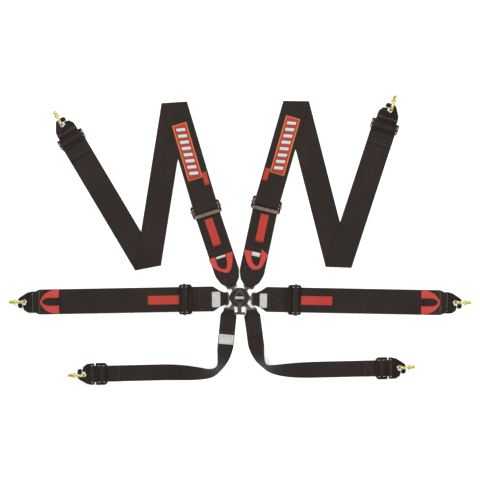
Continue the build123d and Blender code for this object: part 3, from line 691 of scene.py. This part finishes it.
def catmull(p0, p1, p2, p3, t):
    return tuple(
        0.5 * (2 * b + (c - a) * t + (2 * a - 5 * b + 4 * c - d) * t * t
               + (3 * b - a - 3 * c + d) * t ** 3)
        for a, b, c, d in zip(p0, p1, p2, p3)
    )


SUB_ROWS = {}
for strap in SUBS:
    at, turn = TONGUE_AT[strap], SUB_HEADING[strap]
    inner = -1 if strap == "sub_left" else 1
    tip = TIP_HALF["sub"] - 0.6
    path = [
        (72, LOW), (8, LOW), (3, 1.7), *around((-2.0, 4.05), TONGUE_WRAP_R, 270, 90), (3, 6.4),
        (15, SECOND), (74, SECOND), (84, LOW), (SUB_FLAT, LOW),
    ]
    rows = level_rows(rounded(path, 1.8), at, turn, widths([(-4.9, tip), (14, NARROW / 2)]))
    end_turn = end_heading(strap)
    end_turn += 360 * round((SUB_BEND[strap][-1][2] - end_turn) / 360)
    first, rest = along(at, turn, SUB_FLAT), SUB_REST[strap]
    before = (*along(first, turn, -30), turn, 0)
    after = (*along(rest, end_turn, 40), end_turn, 0)
    marks = [before, (*first, turn, 0), *SUB_BEND[strap], (*rest, end_turn, 0), after]
    between = 6
    for i in range(1, len(marks) - 2):
        for k in range(1, between + 1):
            x, y, angle, roll = catmull(*marks[i - 1:i + 3], k / between)
            t, r = radians(angle), radians(max(roll, 0))
            across = Vector((-sin(t) * inner * cos(r), cos(t) * inner * cos(r), sin(r)))
            middle = 0.1 + NARROW / 2 * sin(r) + CLOTH / 2 * cos(r)
            centre = Vector((x, y, middle))
            raised, resting = centre + across * NARROW / 2, centre - across * NARROW / 2
            rows.append((raised, resting) if inner > 0 else (resting, raised))
    slide = SLIDE_AT[strap]
    path = rounded(slide_path(-span(rest, slide)), 1.5)[1:]
    rows += level_rows(path, slide, end_turn, NARROW / 2)
    cloth(f"belt_{strap}", rows, "webbing", body(strap), [f"webbing_{strap}"])
    lines = box_stitch(at, turn, 24, 68, NARROW / 2 - 6, SECOND + CLOTH / 2 + 0.05)
    stitches(f"tongue_stitches_{strap}", lines, "thread_dark", body(strap))
    SUB_ROWS[strap] = rows


# ---- Pull loops

# Outer and inner edges from the tail's left to its right, x away from the tail's end.
LOOP_EDGES = {
    "shoulder_left": (
        [(-14, -40), (0, -40.5), (16, -38.5), (32, -32.5), (45.4, -19.3), (55, -5), (57.5, 4),
         (52, 12.5), (42.7, 19.5), (24.2, 28.5), (0, 36), (-14, 38)],
        [(-14, -20), (0, -19.5), (14, -20.5), (29.2, -19.5), (39, -12), (43, -3), (42, 2),
         (36, 6), (26.6, 10), (12, 12), (0, 13), (-14, 14)],
    ),
    "shoulder_right": (
        [(-14, -38), (0, -36.5), (20.7, -30), (39.3, -19), (50.8, -7.4), (54.5, 5), (50, 18),
         (40, 27), (26.2, 31.5), (9.6, 35.5), (0, 37), (-14, 38)],
        [(-14, -14), (0, -14), (16, -12), (32, -5), (40, 4), (41, 9.5), (36.2, 15), (22, 17),
         (10, 16), (0, 15), (-14, 15)],
    ),
}
LOOP_EDGES["lap_left"] = LOOP_EDGES["lap_right"] = (
    [(-14, -37), (0, -37), (22, -34.5), (42, -25), (55, -9), (58, 0), (55, 9), (42, 25),
     (22, 34.5), (0, 37), (-14, 37)],
    [(-14, -12), (0, -12), (30, -12), (43, -9), (50, -4), (51, 0), (50, 4), (43, 9), (30, 12),
     (0, 12), (-14, 12)],
)


def smooth_edge(points, between=4):
    out = []
    for i in range(len(points) - 1):
        a, d = points[max(i - 1, 0)], points[min(i + 2, len(points) - 1)]
        for k in range(between):
            out.append(catmull(a, points[i], points[i + 1], d, k / between))
    return out + [points[-1]]


TAPE, TAIL_MID, LOOP_RISE = 1.5, 4.5, 0.6

for strap in SHOULDERS + LAPS:
    turn = belt_heading(strap) + (180 if strap in SHOULDERS else 0)
    tail = SHOULDER_TAIL if strap in SHOULDERS else LAP_TAIL
    at = along(ADJUSTER_AT[strap], turn, tail)
    rows, seams = [], [[], []]
    for outer, inner in zip(*(smooth_edge(e) for e in LOOP_EDGES[strap])):
        if outer[0] < 0:
            continue
        lift = TAIL_MID + LOOP_RISE * max(0, min(1, outer[0] / 30))
        a, b = Vector((*along(at, turn, *outer), lift)), Vector((*along(at, turn, *inner), lift))
        rows.append((b, a))
        for line, share in zip(seams, (0.12, 0.88)):
            line.append(a.lerp(b, share) + Vector((0, 0, 0.8)))
    cloth(f"pull_tape_{strap}", rows, "red", body(strap), [f"pull_loop_{strap}"], TAPE, 0.5)
    stitches(f"pull_tape_stitches_{strap}", seams, "thread_red", body(strap))


# ---- Hardware with eased edges

def eased(node, mat, width):
    """The CAD part with its edges broken, so that they catch the light."""
    source = nodes[node]
    obj = bpy.data.objects.new(f"{node}_eased", source.data.copy())
    obj.data.materials.clear()
    obj.data.materials.append(MAT[mat])
    bpy.context.collection.objects.link(obj)
    flat = obj.modifiers.new("flat", "DECIMATE")
    flat.decimate_type = "DISSOLVE"
    flat.angle_limit = radians(1)
    flat.delimit = {"MATERIAL"}
    bevel = obj.modifiers.new("edges", "BEVEL")
    bevel.width = width / 1000
    bevel.segments = 2
    bevel.limit_method = "ANGLE"
    bevel.angle_limit = radians(40)
    bevel.use_clamp_overlap = True
    smooth_by_angle(obj)
    bodies = frame["record"]["behaviour"]["bodies"]
    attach(obj, next(name for name, members in bodies.items() if node in members))
    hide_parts(node)
    return obj


LIP_FROM = 8.9


def paint_lip_highlight(obj, strap):
    """Painted highlight: the lip that the webbing rubs gets a lighter metal colour on its top faces, in
    place of shine.
    """
    obj.data.materials.append(MAT["edge"])
    at, turn = ADJUSTER_AT[strap], radians(adjuster_heading(strap))
    for face in obj.data.polygons:
        x, y, z = face.center * 1000
        if z > LIP_FROM and (x - at[0]) * cos(turn) + (y - at[1]) * sin(turn) < 0:
            face.material_index = 1


def smooth_by_angle(obj, angle=35):
    obj.data.shade_smooth()
    obj.data.set_sharp_from_angle(angle=radians(angle))


for strap in STRAPS:
    eased(f"tongue_{strap}", "steel", 0.4)
    eased(f"hook_{strap}", "black", 0.3)
    eased(f"gate_{strap}", "black", 0.25)
    if strap in SHOULDERS + LAPS:
        frame_piece = eased(f"adjuster_{strap}", "black", 0.5)
        if strap in SHOULDERS:
            # The lip's top faces get a painted highlight.
            paint_lip_highlight(frame_piece, strap)
    if strap in SHOULDERS + SUBS:
        eased(f"slide_{strap}", "black", 0.5)
eased("buckle_housing", "housing", 0.4)
eased("release_lever", "lever", 0.5)
for node, mat in (
    ("buckle_back_plate", "plate"), ("housing_screws", "bright"), ("cam_plate", "bright"),
    ("spindle", "bright"), ("lock_pins", "bright"),
):
    data = nodes[node].data
    data.materials.clear()
    data.materials.append(MAT[mat])


# ---- Coil springs: one round each lock pin's head, and the lever's

def coil(centres, radius, wire, low, high, turns):
    """Verts and faces of one helical wire above each centre, with closed ends."""
    verts, faces = [], []
    sides, per_turn = 8, 24
    for cx, cy in centres:
        count = int(turns * per_turn)
        base = len(verts)
        for i in range(count + 1):
            a = 2 * pi * turns * i / count
            z = low + wire + (high - low - 2 * wire) * i / count
            for k in range(sides):
                b = 2 * pi * k / sides
                r = radius + wire * cos(b)
                verts.append((cx + r * cos(a), cy + r * sin(a), z + wire * sin(b)))
        for i in range(count):
            for k in range(sides):
                a, b = base + i * sides + k, base + i * sides + (k + 1) % sides
                faces.append((a, a + sides, b + sides, b))
        faces.append(tuple(base + k for k in range(sides)))
        faces.append(tuple(base + count * sides + k for k in range(sides - 1, -1, -1)))
    return verts, faces


PIN_CIRCLE = 21.0
SPRING_FOOT, SPRING_TOP, LEVER_SPRING_TOP, PINS_LIFT = 12.6, 17.3, 17.4, 4.0
pins = [along((0, 0), PIN_ANGLE[s], PIN_CIRCLE) for s in STRAPS if s != "lap_left"]
coils = piece("pin_coils", *coil(pins, 3.4, 0.42, SPRING_FOOT, SPRING_TOP, 3.25), "bright",
              "buckle", ["pin_springs"])
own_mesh(coils)
piece("lever_coil", *coil([(0, 0)], 8.0, 0.75, SPRING_FOOT, LEVER_SPRING_TOP, 3), "bright",
      "buckle", ["lever_spring"])


# ---- Knurled adjuster bars

BAR_AT, BAR_MID, BAR_HALF_U, BAR_HALF_Z = 14, 7.5, 4, 3
BAR_END, BAR_CHAMFER, KNURL_FROM, KNURL, KNURL_STEP, PLAIN_STEP = 48.4, 48, 42.8, 0.8, 0.4, 4.0


def squarish(c, size):
    """One coordinate of a rounded-square section, from the cosine or sine of its angle."""
    return size * abs(c) ** 0.6 * (1 if c > 0 else -1)


def bar_stations():
    """Distances along a bar, each with the share of the section's size there."""
    stations = []
    v = -BAR_END
    while v < BAR_END + 0.1:
        knurled = abs(v) > KNURL_FROM
        ridge = 0.1 if int((v + 60) / KNURL) % 2 else 0.0
        size = 0.90 + ridge if knurled else 0.97
        stations.append((v, (0.86 if abs(v) > BAR_CHAMFER else 1.0) * size))
        v += KNURL_STEP if knurled else PLAIN_STEP
    return stations


for strap in SHOULDERS + LAPS:
    at, turn = ADJUSTER_AT[strap], adjuster_heading(strap)
    verts, faces = [], []
    count = 24
    angles = [2 * pi * k / count for k in range(count)]
    outline = [(squarish(cos(a), BAR_HALF_U), squarish(sin(a), BAR_HALF_Z)) for a in angles]
    stations = bar_stations()
    for v, size in stations:
        for u, z in outline:
            verts.append((*along(at, turn, BAR_AT + u * size, v), BAR_MID + z * size))
    for i in range(len(stations) - 1):
        for k in range(count):
            a, b = i * count + k, i * count + (k + 1) % count
            faces.append((a, a + count, b + count, b))
    faces.append(tuple(range(count)))
    faces.append(tuple(range(len(verts) - 1, len(verts) - count - 1, -1)))
    # The shoulder bars take the light metal colour as a painted highlight; the lap bars stay dark.
    bar = piece(f"grip_bar_{strap}", verts, faces, "edge" if strap in SHOULDERS else "housing",
                f"grip_{strap}", [f"adjuster_bar_{strap}"])
    smooth_by_angle(bar, 50)


# ---- Eye bolts with rolled threads

def hook_frame(strap):
    t, a = radians(end_heading(strap)), radians(HOOK_TILT)
    return Matrix((
        (cos(t) * cos(a), -sin(t), -cos(t) * sin(a)),
        (sin(t) * cos(a), cos(t), -sin(t) * sin(a)),
        (sin(a), 0, cos(a)),
    ))


def revolved(profile, centre, axis, side, up, count):
    """Vertices and faces of a closed turned shape; profile is (distance, radius or function)."""
    verts, faces = [], []
    for x, r in profile:
        for k in range(count):
            a = 2 * pi * k / count
            size = r(a) if callable(r) else r
            verts.append(centre + axis * x + (side * cos(a) + up * sin(a)) * size)
    for i in range(len(profile) - 1):
        for k in range(count):
            a, b = i * count + k, i * count + (k + 1) % count
            faces.append((a, b, b + count, a + count))
    faces.append(tuple(range(count - 1, -1, -1)))
    faces.append(tuple(range(len(verts) - count, len(verts))))
    return verts, faces


THREAD_R, THREAD_DEPTH, THREAD_PITCH = 5.54, 0.78, 1.27
THREAD_FROM, CHAMFER_FROM, SHANK_END = 20.6, 35.2, 35.98


def thread_radius(x, a):
    share = (x / THREAD_PITCH - a / (2 * pi)) % 1.0
    crest = min(1.0, 1.6 * (1 - abs(2 * share - 1)))
    run_in = min(1.0, max(0.0, (x - THREAD_FROM) / 0.8))
    chamfer = max(0.0, x - CHAMFER_FROM) * 0.9
    return THREAD_R - THREAD_DEPTH * (1 - crest) * run_in - chamfer


def eye_ring(centre, axis, across, up):
    """Vertices and faces of the eye's ring, which lies square to across."""
    verts, faces = [], []
    around_ring, around_wire = 56, 20
    for i in range(around_ring):
        a = 2 * pi * i / around_ring
        out = axis * cos(a) + up * sin(a)
        for k in range(around_wire):
            b = 2 * pi * k / around_wire
            verts.append(centre + out * (EYE_RING_R + EYE_WIRE_R * cos(b)) + across * EYE_WIRE_R * sin(b))
            here, there = i * around_wire, (i + 1) % around_ring * around_wire
            after = (k + 1) % around_wire
            faces.append((here + k, here + after, there + after, there + k))
    return verts, faces


def shank_profile():
    """Distance and radius along the shank: neck, rounded collar, then the thread."""
    profile = [(12.8, 5.2), (14.2, 6.2), (15.2, 7.6), (15.8, 8.6), (16.4, 8.95), (17.2, 9.0),
               (18.4, 9.0), (19.0, 8.85), (19.25, 8.3), (19.3, THREAD_R), (20.3, THREAD_R)]
    x, step = 20.5, 0.158
    while x < SHANK_END:
        profile.append((x, partial(thread_radius, x)))
        x += step
    return profile


HOLE_FAR, HOLE_NEAR = (29.7, 0), (27.5, 0)


def hole_edge(r_far, r_near):
    """The eye hole's edge from the eye's ring round to the mouth, about the hole's middle line."""
    return [*around(HOLE_FAR, r_far, 52, 84, 4), *around(HOLE_NEAR, r_near, 96, 252, 12)]


def hole_rim(strap):
    """The rolled edge of the eye's hole stands in from the hole that the plate was punched with."""
    half, side = HOOK_T / 2 - 0.1, HOOK_SIDE[strap]
    outer, inner = hole_edge(8.1, 7.1), hole_edge(5.9, 5.0)
    local, (x, y) = hook_frame(strap), hook_at(strap)
    rings = [(outer, -half), (outer, half), (inner, half - 0.2), (inner, 0.2 - half)]
    verts = [Vector((x, y, HOOK_MID)) + local @ Vector((u, side * (EYE_SIDE + v), w))
             for ring, w in rings for u, v in ring]
    n = len(outer)
    faces = [(k * n + i, k * n + i + 1, (k + 1) % 4 * n + i + 1, (k + 1) % 4 * n + i)
             for k in range(4) for i in range(n - 1)]
    faces += [(0, n, 2 * n, 3 * n), (4 * n - 1, 3 * n - 1, 2 * n - 1, n - 1)]
    if side > 0:
        faces = [face[::-1] for face in faces]
    smooth_by_angle(piece(f"hook_hole_rim_{strap}", verts, faces, "black", f"hook_{strap}"), 40)


for strap in STRAPS:
    hole_rim(strap)
    side_sign = HOOK_SIDE[strap]
    local = hook_frame(strap)
    x, y = hook_at(strap)
    centre = Vector((x, y, HOOK_MID)) + local @ Vector((EYE_AT, side_sign * EYE_SIDE, EYE_OVER))
    t, down = radians(end_heading(strap)), radians(EYE_TILT)
    axis = Vector((cos(t) * cos(down), sin(t) * cos(down), -sin(down)))
    across = Vector((sin(t), -cos(t), 0))
    up = across.cross(axis)
    verts, faces = eye_ring(centre, axis, across, up)
    shank, shank_faces = revolved(shank_profile(), centre, axis, across, up, 40)
    n = len(verts)
    verts += shank
    faces += [tuple(v + n for v in f) for f in shank_faces]
    eye = piece(f"eye_{strap}", verts, faces, "zinc", f"eye_{strap}", [f"eye_bolt_{strap}"])
    smooth_by_angle(eye, 45)


# ---- Patches, labels and their stitches

PATCH_Z = 0.42


def on_belt(height, extra=0.0):
    lift = CLOTH / 2 + PATCH_Z + extra
    if callable(height):
        return lambda x, y: height(x, y) + lift
    return height + lift


def sewn_patch(name, corners, height, mat, on, thread):
    thick = 0.8
    patch(name, corners, on_belt(height), mat, on, thick)
    top = on_belt(height, thick / 2 + 0.05)
    stitches(f"{name}_stitches", outline_stitch(corners, 2.2, top), thread, on)


def oblong(at, turn, u0, u1, v0, v1, slant=0.0):
    return [along(at, turn, u0 + slant, v1), along(at, turn, u0 - slant, v0),
            along(at, turn, u1 - slant, v0), along(at, turn, u1 + slant, v1)]


def banner(strap, at, turn, u0, u1, middle, half):
    """The large red patch with an orange edge and a plain ornament of slanted bars."""
    height = shoulder_height(strap, 0)
    v0, v1 = middle - half, middle + half
    patch(f"banner_edge_{strap}", oblong(at, turn, u0, u1, v0, v1), on_belt(height), "orange",
          body(strap), 0.9)
    patch(f"banner_{strap}", oblong(at, turn, u0 + 3, u1 - 3, v0 + 3, v1 - 3), on_belt(height, 0.35),
          "patch_red", body(strap), 0.9)
    bars = 8
    for k in range(bars):
        u = u0 + 19 + k * (u1 - u0 - 38) / (bars - 1)
        for kind, grow, lift, mat in (("shade", 1.6, 0.7, "webbing"), ("bar", 0.0, 0.95, "label")):
            corners = oblong(at, turn, u - 5.2 - grow, u + 5.2 + grow, middle - 13.5 - grow,
                             middle + 13.5 + grow, 2.5 if strap == "shoulder_left" else -2.5)
            patch(f"banner_{kind}_{k}_{strap}", corners, on_belt(height, lift), mat, body(strap), 0.5)


for strap in SHOULDERS:
    at, turn = ADJUSTER_AT[strap], run_heading(strap)
    left = strap == "shoulder_left"
    height = shoulder_height(strap, 0)
    banner(strap, at, turn, *((108, 284, 4.5, 22.5) if left else (110, 290, -4.5, 22.3)))
    strip = oblong(at, turn, *((81, 122, -33, -18) if left else (81, 120, 19, 34)))
    patch(f"banner_strip_{strap}", strip, on_belt(height, 0.9), "patch_red", body(strap), 0.7)
    stitches(f"banner_strip_stitches_{strap}",
             outline_stitch(strip, 2.0, on_belt(height, 1.3)), "thread_red", body(strap))
    turn_tail = belt_heading(strap)
    middle = 2 if left else -2
    tail_patch = oblong(at, turn_tail, -104, -18, middle - 12.5, middle + 12.5)
    sewn_patch(f"tail_patch_{strap}", tail_patch, TAIL_MID, "patch_red", body(strap), "thread_red")
    end = along(at, turn_tail, -SHOULDER_TAIL)
    loop_label = oblong(end, turn_tail + 180, *((1, 8, -17, 11) if left else (0.5, 13.5, -12, 13)))
    patch(f"loop_label_{strap}", loop_label, 4.0, "label", body(strap), 0.7)
    hems = [[(*along(end, turn_tail, u, v), TAIL_MID + 0.86) for v in (-34, 34)] for u in (5, 11)]
    stitches(f"tail_hem_{strap}", hems, "thread_dark", body(strap))

LAP_LABEL_MID = 3.95

for strap in LAPS:
    at, turn = ADJUSTER_AT[strap], belt_heading(strap)
    low, high = (-12.5, 14.5) if strap == "lap_left" else (-14.5, 12.5)
    sewn_patch(f"belt_patch_{strap}", oblong(at, turn, 26, 126, low, high), OVER, "patch_red",
               body(strap), "thread_red")
    h = span(at, LAP_HOOK_AT[strap])
    ends = [[(*along(at, turn, u, v), SECOND + SEAM_OVER) for v in (-34, 34)]
            for u in (h - 14, h - 17)]
    stitches(f"end_seam_{strap}", ends, "thread_grey", body(strap))
    lines = box_stitch(at, turn, h - 60, h - 22, WIDE / 2 - 6, SECOND + 0.85)
    stitches(f"end_stitches_{strap}", lines, "thread_dark", body(strap))
    # The printed label stops where the tongue's webbing narrows.
    at = TONGUE_AT[strap]
    edge = widths(LAP_NECK)
    u0, u1, v0, v1 = (17, 42.5, -21.4, 25.6) if strap == "lap_left" else (17, 39.4, -25.9, 17.4)
    rows = []
    for k in range(7):
        u = u0 + (u1 - u0) * k / 6
        room = edge(u) - 1.5
        rows.append((Vector((*along(at, turn, u, min(v1, room)), LAP_LABEL_MID)),
                     Vector((*along(at, turn, u, max(v0, -room)), LAP_LABEL_MID))))
    cloth(f"lap_label_{strap}", rows, "print", body(strap), thick=0.6, soft=0.4)
    seam = [[(a.lerp(b, share) + Vector((0, 0, 0.35))) for a, b in rows] for share in (0.05, 0.95)]
    stitches(f"lap_label_stitches_{strap}", seam, "thread_grey", body(strap))

# The left sub belt's label lies on its upper ply, past the turn round the tongue.
sub_rows = SUB_ROWS["sub_left"]
tongue_end = max(range(len(sub_rows)), key=lambda i: sub_rows[i][0].y)
label_rows = []
for a, b in sub_rows[tongue_end:]:
    if -147 < (a.y + b.y) / 2 < -113:
        across = (b - a).normalized()
        lift = across.cross(Vector((0, -1, 0))).normalized()
        lift = lift * 1.2 if lift.z > 0 else lift * -1.2
        label_rows.append((a.lerp(b, 0.04) + lift, a.lerp(b, 0.96) + lift))
cloth("sub_label", label_rows, "print", body("sub_left"), thick=0.6, soft=0.4)

for strap in SHOULDERS + SUBS:
    half = (WIDE if strap in SHOULDERS else NARROW) / 2 - 4
    at, turn = SLIDE_AT[strap], end_heading(strap)
    rows = [[(*along(at, turn, u, v), SECOND + SEAM_OVER) for v in (-half, half)]
            for u in (-50, -54)]
    stitches(f"turned_end_{strap}", rows, "thread_dark", body(strap))


# ---- Cap badge: a plain bar with a thin stripe

def slab(name, x0, x1, y0, y1, z0, z1, radius, mat, on):
    ring = []
    for cx, cy, start in ((x1 - radius, y1 - radius, 0), (x0 + radius, y1 - radius, 90),
                          (x0 + radius, y0 + radius, 180), (x1 - radius, y0 + radius, 270)):
        ring += around((cx, cy), radius, start, start + 90, 5)
    n = len(ring)
    verts = [(x, y, z0) for x, y in ring] + [(x, y, z1) for x, y in ring]
    faces = [tuple(range(n - 1, -1, -1)), tuple(range(n, 2 * n))]
    faces += [(i, (i + 1) % n, n + (i + 1) % n, n + i) for i in range(n)]
    return piece(name, verts, faces, mat, on, smooth=False)


cad_cap = nodes["lever_cap"]
cap_heights = [(cad_cap.matrix_world @ v.co).z * 1000 for v in cad_cap.data.vertices]
cap_foot, cap_top = min(cap_heights), max(cap_heights)
# The cap comes to a point at the top and a blunt one at the bottom.
CAP_R, CAP_MID_Y = 12.6, -1
ring = [*around((0, CAP_MID_Y), CAP_R, 35, -65, 14), *around((0, -11.2), 3.2, -50, -130, 6),
        *around((0, CAP_MID_Y), CAP_R, -115, -215, 14), *around((0, 15.2), 2.2, 145, 35, 6)]
levels = [(1.0, cap_foot), (1.0, cap_top - 0.7), (0.97, cap_top - 0.25), (0.92, cap_top)]
verts = [(x * size, CAP_MID_Y + (y - CAP_MID_Y) * size, z) for size, z in levels for x, y in ring]
n = len(ring)
faces = [(k * n + i, k * n + (i + 1) % n, (k + 1) * n + (i + 1) % n, (k + 1) * n + i)[::-1]
         for k in range(len(levels) - 1) for i in range(n)]
faces += [tuple(range(n)), tuple(range(len(levels) * n - 1, (len(levels) - 1) * n - 1, -1))]
smooth_by_angle(piece("cap_shell", verts, faces, "cap", "lever", ["lever_cap"]), 40)
slab("cap_badge", -12.6, 12.6, -3.7, 3.1, cap_top - 0.1, cap_top + 0.35, 1.6, "mark", "lever")
slab("cap_badge_stripe", -9.8, 9.8, -1.3, 0.7, cap_top + 0.3, cap_top + 0.5, 0.8, "badge_red", "lever")


# ---- Studio

FLOOR_HALF = 4
LENS, SENSOR, VIEW_WIDTH = 110, 36, 1.464

floor = bpy.data.meshes.new("floor")
corners = [(x * FLOOR_HALF, y * FLOOR_HALF, 0) for x, y in ((-1, -1), (1, -1), (1, 1), (-1, 1))]
floor.from_pydata(corners, [], [(0, 1, 2, 3)])
paper = Shader("paper", rough=0.9)
grain = paper.noise(paper.node("TexCoord").outputs["Object"], 60.0)
paper.link(paper.ramp(grain, [(0.3, (0.90,) * 3), (0.7, (0.93,) * 3)]), "Base Color")
paper.set(paper.out, Emission_Color=(1, 1, 1, 1), Emission_Strength=0.5)
floor.materials.append(paper.mat)
ground = bpy.data.objects.new("floor", floor)
bpy.context.collection.objects.link(ground)


LIT = (0, 0.15, 0)


def lamp(name, where, size, power):
    light = bpy.data.lights.new(name, "AREA")
    light.size = size
    light.energy = power
    obj = bpy.data.objects.new(name, light)
    obj.location = where
    obj.rotation_euler = (Vector(LIT) - Vector(where)).to_track_quat("-Z", "Y").to_euler()
    bpy.context.collection.objects.link(obj)


lamp("key", (-1.6, 2.2, 2.6), 1.0, 62)
lamp("fill", (2.2, -1.2, 2.4), 1.6, 24)
lamp("side", (2.6, 1.6, 2.0), 0.8, 26)
world = bpy.data.worlds.new("studio")
bpy.context.scene.world = world
world.use_nodes = True
sky = world.node_tree.nodes["Background"]
sky.inputs["Color"].default_value = (1, 1, 1, 1)
sky.inputs["Strength"].default_value = 0.55

camera = bpy.data.cameras.new("camera")
camera.lens = LENS
camera.sensor_width = SENSOR
camera.clip_end = 50
eye_point = bpy.data.objects.new("camera", camera)
eye_point.location = (0.0015, 0.1748, VIEW_WIDTH * LENS / SENSOR)
bpy.context.collection.objects.link(eye_point)
bpy.context.scene.camera = eye_point
bpy.context.scene.view_settings.view_transform = "Standard"

bpy.context.view_layer.update()
